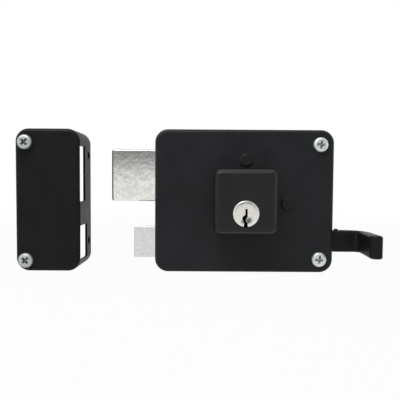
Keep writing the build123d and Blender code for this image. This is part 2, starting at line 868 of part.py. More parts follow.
# Latch head, bevelled on the side of the door, with a mortise for the slide plate
with BuildPart() as latch_bolt:
    with BuildSketch(Plane.XY.offset(latch_bottom)):
        with BuildLine():
            Polyline(
                (latch_tip, -bolt_front),
                (latch_rear, -bolt_front),
                (latch_rear, -latch_back),
                (latch_tip + latch_bevel_length, -latch_back),
                (latch_tip, -bolt_front + latch_nose),
                close=True,
            )
        make_face()
    extrude(amount=latch_size)
    fillet(edges().filter_by(Axis.Z).group_by(Axis.X)[0], latch_tip_radius)
    add_slab(
        latch_rear - slide_lap,
        latch_rear + overrun,
        slide_bottom - seat_gap,
        slide_top + seat_gap,
        slide_back - seat_gap,
        slide_front + seat_gap,
        mode=Mode.SUBTRACT,
    )
    drill(latch_rivets_at, latch_rivet_radius + seat_gap, latch_back - overrun, bolt_front + overrun)
write(latch_bolt.part, "latch_bolt")

# Slide plate from the latch head to the handle, with a guide arm and the lug that the rack plate meets
with BuildPart() as latch_slide_plate:
    add_slab(latch_rear - slide_lap, tongue_right, slide_bottom, slide_top, slide_back, slide_front)
    add_slab(slide_arm_start, lug_right, slide_top, lug_top, slide_back, slide_front)
    upright = edges().filter_by(Axis.Y)
    level_with_bar = upright.filter_by_position(Axis.Z, slide_top - seat_gap, slide_top + seat_gap)
    bends = level_with_bar.filter_by_position(Axis.X, latch_rear, lug_left)
    fillet(bends.sort_by(Axis.X)[0], slide_bend_radius)
    cut_slot(
        latch_slot_left,
        latch_slot_right,
        latch_stud_z,
        latch_slot_radius,
        slide_back - overrun,
        slide_front + overrun,
    )
    add_slab(lug_left, lug_right, lug_top - lug_height, lug_top, deadbolt_back, slide_back)
    drill(latch_rivets_at, latch_rivet_radius + seat_gap, slide_back - overrun, slide_front + overrun)
    with BuildSketch(Plane.XY.offset(slide_bottom - overrun)):
        with Locations((handle_pin_x, -slide_middle)):
            Circle(handle_pin_radius + seat_gap)
    extrude(amount=slide_height + 2 * overrun, mode=Mode.SUBTRACT)
write(latch_slide_plate.part, "latch_slide_plate")

# Rivets through the latch head
with BuildPart() as latch_rivets:
    for place in latch_rivets_at:
        add_disc(place, latch_rivet_radius, latch_back + slip, bolt_front - slip)
write(latch_rivets.part, "latch_rivets")

# Pull handle: a strap that bends forward into a hook, and a shank that enters the case
with BuildPart() as pull_handle:
    tip_inner_x = bend_x - hook_inner_lean
    with BuildSketch(Plane.XY.offset(strap_bottom)):
        with BuildLine():
            Polyline(
                (strap_start, -strap_front),
                (bend_x, -strap_front),
                (tip_inner_x, -hook_tip_height),
                (tip_inner_x + hook_tip_width, -hook_tip_height),
                (tip_inner_x + hook_tip_width + hook_outer_spread, -strap_back),
                (strap_start, -strap_back),
                close=True,
            )
        make_face()
        nose = (tip_inner_x, -hook_tip_height)
        tip = (tip_inner_x + hook_tip_width, -hook_tip_height)
        fillet(vertices().sort_by_distance(nose)[0], hook_nose_radius)
        fillet(vertices().sort_by_distance(tip)[0], hook_tip_radius)
        fillet(vertices().sort_by(Axis.X)[-1], hook_back_radius)
        fillet(vertices().sort_by_distance((bend_x, -strap_front))[0], hook_inner_radius)
    extrude(amount=strap_height)
    fillet(faces().filter_by(Axis.Z).edges(), handle_edge_radius)
    add_slab(
        shank_left,
        strap_start + overrun,
        -slide_below_plug - shank_height / 2,
        -slide_below_plug + shank_height / 2,
        slide_middle - shank_thickness / 2,
        slide_middle + shank_thickness / 2,
    )
    add_slab(
        shank_left - overrun,
        tongue_right + slip,
        slide_bottom - slip,
        slide_top + slip,
        slide_back - slip,
        slide_front + slip,
        mode=Mode.SUBTRACT,
    )
    with BuildSketch(Plane.XY.offset(strap_bottom - overrun)):
        with Locations((handle_pin_x, -slide_middle)):
            Circle(handle_pin_radius + seat_gap)
    extrude(amount=strap_height + 2 * overrun, mode=Mode.SUBTRACT)
write(pull_handle.part, "pull_handle")

# Cross pin that joins the handle to the slide plate and stands a little above the strap
with BuildPart() as handle_pin:
    with BuildSketch(Plane.XY.offset(strap_bottom)):
        with Locations((handle_pin_x, -slide_middle)):
            Circle(handle_pin_radius)
    extrude(amount=strap_height + handle_pin_proud)
    chamfer(faces().filter_by(Axis.Z).edges(), slip)
write(handle_pin.part, "handle_pin")

# Angle bracket that backs the latch spring and guides the slide plate
with BuildPart() as spring_bracket:
    spring_axis_height = slide_back - spring_from_slide - spring_radius
    bracket_left = -spring_start
    bracket_bottom = -bracket_below_plug - bracket_size / 2
    bracket_low = spring_axis_height - spring_radius - bracket_spring_margin
    add_slab(
        bracket_left,
        bracket_left + bracket_sheet,
        bracket_bottom,
        bracket_bottom + bracket_size,
        bracket_low,
        front_inside,
    )
    add_slab(
        bracket_left,
        bracket_left + bracket_foot,
        bracket_bottom,
        bracket_bottom + bracket_size,
        front_inside - bracket_sheet,
        front_inside,
    )
    add_slab(
        bracket_left - overrun,
        bracket_left + bracket_sheet + overrun,
        slide_bottom - window_gap,
        slide_top + window_gap,
        slide_back - window_gap,
        slide_front + window_gap,
        mode=Mode.SUBTRACT,
    )
    with BuildSketch(Plane.YZ.offset(bracket_left - overrun)):
        with Locations((-spring_axis_height, -slide_below_plug)):
            Circle(guide_pin_radius + seat_gap)
    extrude(amount=bracket_sheet + 2 * overrun, mode=Mode.SUBTRACT)
write(spring_bracket.part, "spring_bracket")

# Guide pin of the latch spring, riveted in the bracket
with BuildPart() as spring_guide_pin:
    pin_left = latch_rear + latch_throw + guide_pin_tip_gap
    with BuildSketch(Plane.YZ.offset(pin_left)):
        with Locations((-spring_axis_height, -slide_below_plug)):
            Circle(guide_pin_radius)
    extrude(amount=bracket_left + bracket_sheet - pin_left)
    with BuildSketch(Plane.YZ.offset(bracket_left + bracket_sheet)):
        with Locations((-spring_axis_height, -slide_below_plug)):
            Circle(guide_pin_head_radius)
    extrude(amount=guide_pin_head)
write(spring_guide_pin.part, "spring_guide_pin")

# Latch spring between the latch head and the bracket
with BuildPart() as latch_spring:
    with BuildSketch(Plane.YZ.offset(latch_rear)):
        with Locations((-spring_axis_height, -slide_below_plug)):
            Circle(spring_radius)
            Circle(spring_bore, mode=Mode.SUBTRACT)
    extrude(amount=bracket_left - latch_rear)
write(latch_spring.part, "latch_spring")

# Strike box, pressed like the case, with windows for both bolts and two side holes
with BuildPart() as strike_box:
    pressed_box(strike_left, strike_width)
    side_window(
        strike_right - sheet / 2,
        deadbolt_back - strike_rear_play,
        front_inside - strike_front_play,
        deadbolt_bottom - strike_inner_play,
        deadbolt_top + strike_outer_play,
    )
    side_window(
        strike_right - sheet / 2,
        latch_back - strike_latch_rear_play,
        front_inside - strike_front_play,
        latch_bottom - strike_outer_play,
        latch_top + strike_inner_play,
    )
    drill(strike_screws_at, screw_hole_radius, front_inside - overrun, case_depth + overrun)
    with BuildSketch(Plane.YZ.offset(strike_right - sheet - overrun)):
        with Locations((-strike_hole_height, strike_hole_z)):
            with GridLocations(0, strike_hole_pitch, 1, 2):
                Circle(strike_hole_radius)
    extrude(amount=sheet + 2 * overrun, mode=Mode.SUBTRACT)
write(strike_box.part, "strike_box")

# Base plate of the strike box, which leaves the bolt side of the box open behind
with BuildPart() as strike_base_plate:
    base_left = strike_left + inner_gap
    with BuildSketch(Plane.XZ):
        with Locations((base_left + strike_base_width / 2, case_middle_z)):
            RectangleRounded(strike_base_width, plate_height, corner_radius - inner_gap)
    extrude(amount=back_plate_thickness)
    drill(strike_screws_at, screw_post_foot + seat_gap, -overrun, back_plate_thickness + overrun)
    with BuildSketch(Plane.XZ.offset(-overrun)):
        with Locations((strike_left + frame_hole_from_left, case_middle_z)):
            with GridLocations(0, frame_hole_pitch, 1, 2):
                Circle(door_hole_radius)
    extrude(amount=back_plate_thickness + 2 * overrun, mode=Mode.SUBTRACT)
write(strike_base_plate.part, "strike_base_plate")

# Threaded posts that stand on the base plate
with BuildPart() as strike_posts:
    for place in strike_screws_at:
        add_disc(place, screw_post_foot, slip, back_plate_thickness)
        add_disc(place, screw_post_radius, back_plate_thickness, front_inside - slip)
    drill(strike_screws_at, screw_radius + running, front_inside - screw_post_bore_depth, front_inside)
write(strike_posts.part, "strike_posts")

# Screws that hold the strike box on its posts
with BuildPart() as strike_screws:
    add_screws(
        strike_screws_at,
        case_depth,
        1,
        (screw_head_radius, screw_head_height),
        screw_head_rounding,
        screw_length,
        (recess_length, recess_depth),
        degrees(2 * pi * strike_cross_turn_share),
    )
write(strike_screws.part, "strike_screws")
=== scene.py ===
# %% [markdown]
# # A rim box lock, dressed in its real finishes
#
# A rim box lock is screwed to the inner face of a door. A pressed steel case holds the deadbolt and
# the latch, a cast block in front of it holds the key cylinder, and a strike box on the frame takes
# both bolts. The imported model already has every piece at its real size, so this lesson only looks
# after what the eye sees: light, finishes, rounded edges and the small turned and pressed details.

import json
from math import cos, pi, radians, sin

import bmesh
import bpy
from mathutils import Euler, Matrix, Vector


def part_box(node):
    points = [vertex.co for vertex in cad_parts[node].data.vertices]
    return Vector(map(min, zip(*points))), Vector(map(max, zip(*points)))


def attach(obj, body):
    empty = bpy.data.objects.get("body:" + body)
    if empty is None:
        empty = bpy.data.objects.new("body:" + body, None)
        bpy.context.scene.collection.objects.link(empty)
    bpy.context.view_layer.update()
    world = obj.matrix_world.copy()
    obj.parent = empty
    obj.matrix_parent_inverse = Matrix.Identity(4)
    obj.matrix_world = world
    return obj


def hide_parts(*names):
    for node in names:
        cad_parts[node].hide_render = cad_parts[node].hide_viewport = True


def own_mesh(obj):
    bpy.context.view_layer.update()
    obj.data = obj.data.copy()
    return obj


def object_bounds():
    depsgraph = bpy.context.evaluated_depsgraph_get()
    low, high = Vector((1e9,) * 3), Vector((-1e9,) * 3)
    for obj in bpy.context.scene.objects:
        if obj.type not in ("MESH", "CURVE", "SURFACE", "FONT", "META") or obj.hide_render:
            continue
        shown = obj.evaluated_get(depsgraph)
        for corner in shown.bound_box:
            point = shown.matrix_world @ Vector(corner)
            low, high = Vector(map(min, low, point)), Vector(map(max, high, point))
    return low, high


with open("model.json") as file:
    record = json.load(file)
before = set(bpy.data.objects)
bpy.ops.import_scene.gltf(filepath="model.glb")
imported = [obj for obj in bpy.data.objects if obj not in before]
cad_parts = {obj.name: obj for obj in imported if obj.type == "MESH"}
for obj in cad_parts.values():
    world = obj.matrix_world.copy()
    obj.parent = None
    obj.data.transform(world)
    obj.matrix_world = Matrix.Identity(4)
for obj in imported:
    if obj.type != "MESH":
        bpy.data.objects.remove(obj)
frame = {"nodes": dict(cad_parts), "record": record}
nodes = frame["nodes"]
cad_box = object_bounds()
MM = 0.001
print("pieces in the frame:", len(nodes))
print("overall size in mm:", [round((b - a) / MM, 1) for a, b in zip(*cad_box)])

# %% [markdown]
# ## The camera
#
# The photograph was taken from the room side, a little above the middle of the lock and nearly
# square to it. Its view was found by fitting a pinhole camera to the outlines of the case, the
# block, the bolts and the strike box, whose sizes are known from the model. The picture is taken to
# be 400 pixels wide, so the fitted focal length in pixels becomes a lens in millimetres.

# %% Camera
picture_width = 400
focal_pixels = 459.9
camera_place = Vector((-22.3, -268.6, 16.5)) * MM
look_down = radians(2.57)
lean = radians(0.35)

camera = bpy.data.objects.new("camera", bpy.data.cameras.new("camera"))
bpy.context.scene.collection.objects.link(camera)
camera.data.sensor_width = 36
camera.data.lens = focal_pixels / picture_width * camera.data.sensor_width
camera.data.clip_start = 10 * MM
camera.data.clip_end = 20
level = Euler((pi / 2 - look_down, 0, 0)).to_matrix().to_4x4()
camera.matrix_world = Matrix.Translation(camera_place) @ level @ Matrix.Rotation(lean, 4, "Z")
bpy.context.scene.camera = camera
bpy.context.scene.view_settings.view_transform = "Standard"
print("lens in mm:", round(camera.data.lens, 2))

# %% [markdown]
# ## Two small helpers for materials
#
# Paint charts and photo editors give colours as sRGB hex values, and Blender's shaders work in
# linear light, so one function turns the one into the other. The other helper adds a node, sets it
# and links it in a single call, which keeps every material short enough to read.

# %% Colour and node helpers
def linear(hex_colour):
    """Turns an sRGB hex colour into linear red, green, blue and alpha."""
    channels = [int(hex_colour[i : i + 2], 16) / 255 for i in (1, 3, 5)]
    return [c / 12.92 if c <= 0.04045 else ((c + 0.055) / 1.055) ** 2.4 for c in channels] + [1]


def add(tree, kind, settings=None, links=None):
    """Adds a node. A lower-case key sets a property, any other key an input; links feed inputs."""
    node = tree.nodes.new(kind)
    for key, value in (settings or {}).items():
        if isinstance(key, str) and key[0].islower():
            setattr(node, key, value)
        else:
            node.inputs[key].default_value = value
    for key, source in (links or {}).items():
        tree.links.new(source, node.inputs[key])
    return node


def new_material(name):
    """Starts an empty node material and returns it with its tree."""
    material = bpy.data.materials.new(name)
    material.use_nodes = True
    material.node_tree.nodes.clear()
    return material, material.node_tree


def object_space(tree, scale=(1, 1, 1)):
    """Gives object coordinates in millimetres, stretched by scale."""
    coordinates = add(tree, "ShaderNodeTexCoord")
    in_mm = [s / MM for s in scale]
    object_vector = {"Vector": coordinates.outputs["Object"]}
    return add(tree, "ShaderNodeMapping", {"Scale": in_mm}, object_vector).outputs[0]


print("black enamel in linear light:", [round(c, 4) for c in linear("#262728")])

# %% [markdown]
# ## Floor
#
# The lock is photographed on white. To the camera and in reflections the floor mostly glows, which
# reads as white, and a small share of it is lit paper, which keeps a soft shadow near the lock and
# fades out further away. The paper itself is pale grey, so that little light bounces up from it.

# %% Floor
floor_level = cad_box[0].z
half_room = 1.5
shadow_reach = 250
glow_near = 0.96
glow_far = 1.0


def flat_sheet(name, corners):
    """Makes one flat face for the studio."""
    mesh = bpy.data.meshes.new(name)
    mesh.from_pydata([Vector(c) for c in corners], [], [(0, 1, 2, 3)])
    sheet = bpy.data.objects.new(name, mesh)
    bpy.context.scene.collection.objects.link(sheet)
    return sheet


def seen_ray(tree):
    """Gives 1 to rays that show the background: from the camera, off gloss or through glass."""
    rays = add(tree, "ShaderNodeLightPath").outputs
    seen = rays["Is Camera Ray"]
    for kind in ("Is Glossy Ray", "Is Transmission Ray"):
        either = {0: seen, 1: rays[kind]}
        seen = add(tree, "ShaderNodeMath", {"operation": "MAXIMUM"}, either).outputs[0]
    return seen


floor = flat_sheet(
    "floor",
    [
        (-half_room, -half_room, floor_level),
        (half_room, -half_room, floor_level),
        (half_room, half_room, floor_level),
        (-half_room, half_room, floor_level),
    ],
)
white_floor, tree = new_material("white_paper")
paper = add(tree, "ShaderNodeBsdfDiffuse", {"Color": linear("#bcbcbc")})
glow = add(tree, "ShaderNodeEmission", {"Color": (1, 1, 1, 1), "Strength": 1.0})
away = add(tree, "ShaderNodeVectorMath", {"operation": "LENGTH"}, {0: object_space(tree)})
rise = {"From Min": shadow_reach, "From Max": 2 * shadow_reach}
rise.update({"To Min": glow_near, "To Max": glow_far})
rise = add(tree, "ShaderNodeMapRange", rise, {"Value": away.outputs["Value"]})
factors = {0: seen_ray(tree), 1: rise.outputs[0]}
share = add(tree, "ShaderNodeMath", {"operation": "MULTIPLY"}, factors)
both = {0: share.outputs[0], 1: paper.outputs[0], 2: glow.outputs[0]}
mixed = add(tree, "ShaderNodeMixShader", None, both)
add(tree, "ShaderNodeOutputMaterial", None, {"Surface": mixed.outputs[0]})
floor.data.materials.append(white_floor)
print("floor at", round(floor_level / MM, 1), "mm")

# %% [markdown]
# ## Backdrop
#
# The world is white to the camera and in reflections, and gives a plain grey light to everything
# else. A dark flag behind the camera stands for the unlit room. Only reflections show it: bright
# metal mirrors it in its upper part, and the white floor in its lower one.

# %% Flag and world
flag_distance = 1.0
flag_bottom = 0.05
flag = flat_sheet(
    "dark_flag",
    [
        (-half_room, -flag_distance, flag_bottom),
        (half_room, -flag_distance, flag_bottom),
        (half_room, -flag_distance, flag_bottom + half_room),
        (-half_room, -flag_distance, flag_bottom + half_room),
    ],
)
grey_cloth, tree = new_material("grey_cloth")
cloth = add(tree, "ShaderNodeEmission", {"Color": linear("#787878"), "Strength": 1.0})
clear = add(tree, "ShaderNodeBsdfTransparent")
rays = add(tree, "ShaderNodeLightPath")
shown = {0: rays.outputs["Is Glossy Ray"], 1: clear.outputs[0], 2: cloth.outputs[0]}
mixed = add(tree, "ShaderNodeMixShader", None, shown)
add(tree, "ShaderNodeOutputMaterial", None, {"Surface": mixed.outputs[0]})
flag.data.materials.append(grey_cloth)

world = bpy.data.worlds.new("studio")
bpy.context.scene.world = world
world.use_nodes = True
tree = world.node_tree
tree.nodes.clear()
fill_level = 0.42
fill = add(tree, "ShaderNodeBackground", {"Color": (1, 1, 1, 1), "Strength": fill_level})
white = add(tree, "ShaderNodeBackground", {"Color": (1, 1, 1, 1), "Strength": 1.0})
both = {0: seen_ray(tree), 1: fill.outputs[0], 2: white.outputs[0]}
mixed = add(tree, "ShaderNodeMixShader", None, both)
add(tree, "ShaderNodeOutputWorld", None, {"Surface": mixed.outputs[0]})
print("flag from", flag_bottom, "to", flag_bottom + half_room, "m, fill light", fill_level)

# %% [markdown]
# ## Light
#
# A large softbox high in front, a little to the left, lights the upper edges as in the photograph.
# Two weak ones open up the sides. Wide lamps near a small object give soft edges to the highlights.

# %% Softboxes
def softbox(name, place, size, power):
    """Adds a square area light that looks at the middle of the lock, with its size in metres."""
    light = bpy.data.lights.new(name, "AREA")
    light.size = size
    light.energy = power
    lamp = bpy.data.objects.new(name, light)
    bpy.context.scene.collection.objects.link(lamp)
    lamp.location = place
    lamp.rotation_euler = (middle - Vector(place)).to_track_quat("-Z", "Y").to_euler()


middle = (cad_box[0] + cad_box[1]) / 2
softbox("top_softbox", (-0.22, -0.42, 0.62), size=0.5, power=4.5)
softbox("left_softbox", (-0.7, -0.6, 0.35), size=0.5, power=0.8)
softbox("right_softbox", (0.8, -0.45, 0.25), size=0.4, power=0.5)

# %% [markdown]
# ## Finishes
#
# The case is pressed steel under satin black stoved enamel. Sprayed enamel is not quite flat: it
# keeps a faint orange peel a millimetre or two across, and its gloss varies a little where it was
# handled. Noise at those two sizes gives the peel as bump and the smears as roughness and tone.
# Along the rounded edges, where hands and tools rub, patches of it have worn paler.

# %% Black enamel
peel_size = 1.4
peel_depth = 0.02
smear_size = 14
smear_range = (0.3, 0.7)
smear_gloss = (-0.04, 0.05)
rub_size = 5.0
rub_range = (0.45, 0.62)
tone_range = (0.35, 0.65)


def edge_wear(tree, space, size):
    """Gives 0 on faces and up to 1 in patches along rounded edges, where hands and tools rub."""
    edge = add(tree, "ShaderNodeAttribute", {"attribute_name": "edge_wear"})
    patches = add(tree, "ShaderNodeTexNoise", {"Scale": 1 / size, "Detail": 3.0}, {"Vector": space})
    rubbed = {"From Min": rub_range[0], "From Max": rub_range[1]}
    rubbed = add(tree, "ShaderNodeMapRange", rubbed, {"Value": patches.outputs[0]})
    factors = {0: edge.outputs["Fac"], 1: rubbed.outputs[0]}
    return add(tree, "ShaderNodeMath", {"operation": "MULTIPLY"}, factors).outputs[0]


def two_tones(tree, value, dark, light, span=tone_range):
    """Blends from one colour to another as a value goes from the low end of a span to the high."""
    ramp = add(tree, "ShaderNodeValToRGB", None, {"Fac": value})
    for stop, place, colour in zip(ramp.color_ramp.elements, span, (dark, light)):
        stop.position = place
        stop.color = linear(colour)
    return ramp.outputs[0]


def black_enamel(name, dark, light, rubbed, roughness, peel, shine):
    """Satin black stoved enamel: faint orange peel, gloss that varies a little, edges rubbed paler."""
    material, tree = new_material(name)
    space = {"Vector": object_space(tree)}
    ripples = add(tree, "ShaderNodeTexNoise", {"Scale": 1 / peel_size, "Detail": 2.0}, space)
    bump = {"Strength": peel, "Distance": peel_depth * MM}
    bump = add(tree, "ShaderNodeBump", bump, {"Height": ripples.outputs[0]})
    smears = add(tree, "ShaderNodeTexNoise", {"Scale": 1 / smear_size, "Detail": 4.0}, space)
    gloss = {"From Min": smear_range[0], "From Max": smear_range[1]}
    gloss.update({"To Min": roughness + smear_gloss[0], "To Max": roughness + smear_gloss[1]})
    gloss = add(tree, "ShaderNodeMapRange", gloss, {"Value": smears.outputs[0]})
    paint = two_tones(tree, smears.outputs[0], dark, light)
    worn = {0: edge_wear(tree, space["Vector"], rub_size), 6: paint}
    tint = add(tree, "ShaderNodeMix", {"data_type": "RGBA", 7: linear(rubbed)}, worn)
    shader = add(
        tree,
        "ShaderNodeBsdfPrincipled",
        {"Metallic": 0.0, "IOR": 1.5, "Specular IOR Level": shine},
        {"Base Color": tint.outputs[2], "Roughness": gloss.outputs[0], "Normal": bump.outputs[0]},
    )
    add(tree, "ShaderNodeOutputMaterial", None, {"Surface": shader.outputs[0]})
    return material


print("orange peel", peel_size, "mm across, smears", smear_size, "mm")

# %% [markdown]
# The strike, the block and the handle wear the same enamel as the case, in slightly different
# batches: the case is a touch bluer, the cast block a little glossier, and the strike and the handle
# are duller and darker.

# %% Enamel batches
enamel_batches = {
    # finish: dark tone, light tone, rubbed tone, roughness, strength of the peel, specular level
    "case_enamel": ("#1b1c1e", "#1f2022", "#333435", 0.45, 0.35, 0.18),
    "strike_enamel": ("#101010", "#141414", "#2b2c2c", 0.45, 0.35, 0.14),
    "block_enamel": ("#161617", "#1a1a1b", "#222324", 0.42, 0.45, 0.26),
    "handle_enamel": ("#171717", "#1b1b1c", "#292a2a", 0.4, 0.5, 0.11),
}
finishes = {name: black_enamel(name, *look) for name, look in enamel_batches.items()}
print("enamels:", sorted(finishes))

# %% [markdown]
# The bolts are steel under zinc plate. Zinc settles in soft grey patches a few millimetres across,
# with a finer mottle over them, and the patches differ in gloss as well as in tone. Two small
# functions paint shade onto a metal's colour where little light reaches: one round given spots, and
# one deeper than a given plane.

# %% Zinc plate
mottle_share = 0.4
mottle_range = (0.36, 0.62)
# shade_core and shade_black set the painted shade: the reach in mm where it is full, and its colour.
shade_core = 0.3
shade_black = "#14130f"


def shade_round_spots(tree, metal, place, shade_colour, spots):
    """Paints shade onto a metal round spots, each with its middle, reach and share."""
    for spot, reach, share in spots:
        away = {"operation": "DISTANCE", 1: spot}
        away = add(tree, "ShaderNodeVectorMath", away, {0: place}).outputs["Value"]
        fade = {"From Min": shade_core, "From Max": reach, "To Min": share, "To Max": 0.0}
        fade["interpolation_type"] = "SMOOTHSTEP"
        near = add(tree, "ShaderNodeMapRange", fade, {"Value": away}).outputs[0]
        mix = {"data_type": "RGBA", 7: linear(shade_colour)}
        metal = add(tree, "ShaderNodeMix", mix, {0: near, 6: metal}).outputs[2]
    return metal


def shade_inward(tree, metal, place, shade_colour, shallow, deep, share):
    """Paints shade onto a metal as it goes in along Y, from a shallow depth to a deep one."""
    depth = add(tree, "ShaderNodeSeparateXYZ", None, {0: place}).outputs["Y"]
    inward = {"From Min": shallow, "From Max": deep, "To Min": 0.0, "To Max": share}
    inward = add(tree, "ShaderNodeMapRange", inward, {"Value": depth}).outputs[0]
    mix = {"data_type": "RGBA", 7: linear(shade_colour)}
    return add(tree, "ShaderNodeMix", mix, {0: inward, 6: metal}).outputs[2]


def mottled_metal(name, look, waves=0.01, spots=(), inward_shade=None):
    """A plated or bare metal: soft patches of tone and gloss, a finer mottle, and low waves in mm."""
    light, dark, patch, grain, roughness, spread = look
    material, tree = new_material(name)
    space = object_space(tree)
    patches = {"Scale": 1 / patch, "Detail": 3.0, "Roughness": 0.6}
    patches = add(tree, "ShaderNodeTexNoise", patches, {"Vector": space}).outputs[0]
    mottle = {"Scale": 1 / grain, "Detail": 2.0}
    mottle = add(tree, "ShaderNodeTexNoise", mottle, {"Vector": space}).outputs[0]
    mix = {"data_type": "FLOAT", 0: mottle_share}
    both = add(tree, "ShaderNodeMix", mix, {2: patches, 3: mottle}).outputs[0]
    tone = two_tones(tree, both, dark, light, mottle_range)
    metal = shade_round_spots(tree, tone, space, shade_black, spots)
    if inward_shade:
        metal = shade_inward(tree, metal, space, *inward_shade)
    gloss = {"From Min": tone_range[0], "From Max": tone_range[1]}
    gloss.update({"To Min": roughness + spread, "To Max": roughness - spread})
    gloss = add(tree, "ShaderNodeMapRange", gloss, {"Value": both})
    bump = {"Strength": 1.0, "Distance": waves * MM}
    bump = add(tree, "ShaderNodeBump", bump, {"Height": both})
    shader = add(
        tree,
        "ShaderNodeBsdfPrincipled",
        {"Metallic": 1.0},
        {"Base Color": metal, "Roughness": gloss.outputs[0], "Normal": bump.outputs[0]},
    )
    add(tree, "ShaderNodeOutputMaterial", None, {"Surface": shader.outputs[0]})
    return material


# shade_black is the colour of the painted shade.
print("shade black in linear light:", [round(c, 4) for c in linear(shade_black)])

# %% [markdown]
# The same recipe gives the duller sheet of the back plates, the screws, and the bare metals inside,
# each with its own size of patch. The latch is plated duller than the deadbolt, and the strike's
# screws are duller than the case's, as in the photograph. Shade is painted low in the cross recesses
# and deep in the bore behind the plug.

# %% Metals of the lock
head_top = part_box("case_screws")[0].y / MM
# Painted shade: the screws' colour darkens low in their cross recesses.
recess = (head_top + 0.1, head_top + 0.7)
light_recess_shade = {"inward_shade": ("#8f9894", *recess, 0.6)}
dark_recess_shade = {"inward_shade": ("#6f7773", *recess, 0.7)}
# Painted shade: the brass darkens round the bore behind the plug, which lies in shadow.
shaded_bore = {"spots": [((0, -46, -6.8), 5.0, 0.97)]}
metals = {
    # finish: light tone, dark tone, patch and mottle in mm, roughness and how much it varies
    "bolt_zinc": ("zinc_plated_bolt", ("#ebece8", "#dddeda", 3.4, 1.7, 0.15, 0.03), {"waves": 0.032}),
    "latch_zinc": ("zinc_plated_latch", ("#dcdedc", "#d3d5d3", 3.4, 1.7, 0.2, 0.03), {"waves": 0.02}),
    "plate_zinc": ("zinc_plated_sheet", ("#d2d4d2", "#b6b8b6", 6.0, 1.2, 0.38, 0.06), {}),
    "screw_zinc": ("zinc_plated_screw", ("#e2e6e4", "#d2d6d4", 1.6, 0.6, 0.5, 0.04), light_recess_shade),
    "dull_zinc": ("dulled_zinc_screw", ("#c6cac8", "#b0b4b2", 1.6, 0.6, 0.52, 0.04), dark_recess_shade),
    "pin_brass": ("turned_brass", ("#dcc082", "#b9975a", 3.0, 0.5, 0.3, 0.06), shaded_bore),
    "hub_steel": ("sintered_steel", ("#8f9091", "#6c6d6f", 0.9, 0.25, 0.5, 0.06), {}),
    "spring_steel": ("bright_spring_steel", ("#b9bcc0", "#8f9296", 1.2, 0.3, 0.3, 0.05), {}),
}
for finish, (name, look, extra) in metals.items():
    finishes[finish] = mottled_metal(name, look, **extra)
print("metals:", sorted(metals))

# %% [markdown]
# The plug is brass under satin nickel. Its face is turned, which leaves fine rings, and is polished
# with a buff, which crowns it a little near the rim. Both are bumps worked out from the distance to
# the plug's axis: the rings a wave, and the crown a smooth fall near the rim. Grey shade is painted
# beside the key way, and the key way is painted dark inside.

# %% Turned nickel face of the plug
plug_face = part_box("plug")[0].y / MM
ring_pitch = 0.35
ring_scale = 2 * pi / (20 * ring_pitch)
ring_depth, ring_strength, ring_waver = 0.01, 0.12, 0.4
buff_gloss = (-0.05, 0.07)
crown_start, crown_end, crown_depth = 4.4, 6.6, 0.12
cloud_size = 2.5
# Painted shade: grey spots beside the key way, and dark inside it.
key_way_side_shade = [((1.3, 0, -3.0), 2.4, 0.85), ((-1.7, 0, -3.9), 1.5, 0.55)]
key_way_shade = ("#0c0c0a", plug_face + 0.6, plug_face + 2.0, 0.92)


def turned_nickel(name, light, dark, shade_colour, roughness):
    """Satin nickel with fine turned rings, a crowned rim and painted shade round and inside the key
    way.
    """
    material, tree = new_material(name)
    space = object_space(tree)
    wave = {"wave_type": "RINGS", "rings_direction": "Y", "Scale": ring_scale}
    wave["Distortion"] = ring_waver
    rings = add(tree, "ShaderNodeTexWave", wave, {"Vector": space})
    clouds = {"Scale": 1 / cloud_size, "Detail": 3.0}
    clouds = add(tree, "ShaderNodeTexNoise", clouds, {"Vector": space})
    metal = two_tones(tree, clouds.outputs[0], dark, light)
    flat = add(tree, "ShaderNodeVectorMath", {"operation": "MULTIPLY", 1: (1, 0, 1)}, {0: space})
    metal = shade_round_spots(tree, metal, flat.outputs[0], shade_colour, key_way_side_shade)
    metal = shade_inward(tree, metal, space, *key_way_shade)
    from_axis = add(tree, "ShaderNodeVectorMath", {"operation": "LENGTH"}, {0: flat.outputs[0]})
    crown = {"From Min": crown_start, "From Max": crown_end, "To Min": 0.0, "To Max": -1.0}
    crown["interpolation_type"] = "SMOOTHSTEP"
    crown = add(tree, "ShaderNodeMapRange", crown, {"Value": from_axis.outputs["Value"]})
    buffed = {"Strength": 1.0, "Distance": crown_depth * MM}
    buffed = add(tree, "ShaderNodeBump", buffed, {"Height": crown.outputs[0]})
    turned = {"Strength": ring_strength, "Distance": ring_depth * MM}
    heights = {"Height": rings.outputs["Fac"], "Normal": buffed.outputs[0]}
    turned = add(tree, "ShaderNodeBump", turned, heights)
    gloss = {"To Min": roughness + buff_gloss[0], "To Max": roughness + buff_gloss[1]}
    gloss = add(tree, "ShaderNodeMapRange", gloss, {"Value": clouds.outputs[0]})
    shader = add(
        tree,
        "ShaderNodeBsdfPrincipled",
        {"Metallic": 1.0},
        {"Base Color": metal, "Roughness": gloss.outputs[0], "Normal": turned.outputs[0]},
    )
    add(tree, "ShaderNodeOutputMaterial", None, {"Surface": shader.outputs[0]})
    return material


# 4c4b42 is the grey of the painted shade beside the key way.
finishes["plug_nickel"] = turned_nickel("turned_nickel", "#eae8e2", "#e0ded8", "#4c4b42", 0.24)
print("plug face at", round(plug_face, 1), "mm, rings every", ring_pitch, "mm")

# %% [markdown]
# ## Which finish and which body each piece has
#
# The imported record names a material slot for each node, and the slots have the finishes' names. It
# also lists the nodes of each moving body. Two nodes get a finish of their own in place of their
# slot's: the latch bolt and the strike's screws.

